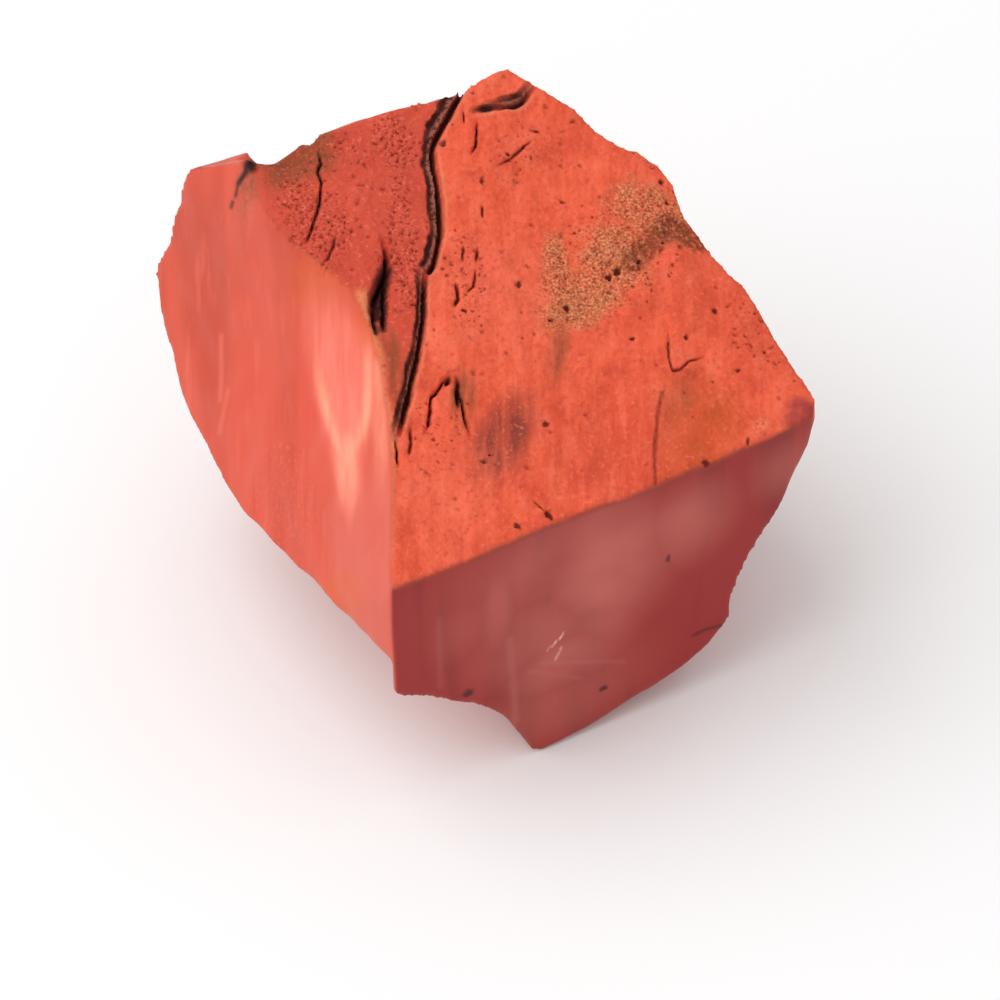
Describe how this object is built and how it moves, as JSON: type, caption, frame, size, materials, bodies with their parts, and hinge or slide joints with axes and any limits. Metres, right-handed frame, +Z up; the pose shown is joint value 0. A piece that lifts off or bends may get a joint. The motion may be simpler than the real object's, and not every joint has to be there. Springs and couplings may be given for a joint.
{
  "type": "red jasper stone",
  "caption": "Rough chunk of red jasper with a cracked, weathered top, a smooth sawn side and broken sides; it rests flat as a collector's or decorative stone.",
  "frame": {"origin": "under the middle of the stone's bounding box, on the plane it rests on", "axes": "+X runs to the right as seen by a viewer facing the sawn side, +Y goes away from that viewer, +Z is up from the flat underside"},
  "size_m": [0.0408, 0.0357, 0.0314],
  "materials": {
    "jasper": "opaque brick-red jasper: dull weathered rind on top, satin broken left face, fine-sawn maroon front"
  },
  "bodies": {
    "root": {"jasper_stone": "jasper"}
  },
  "joints": []
}
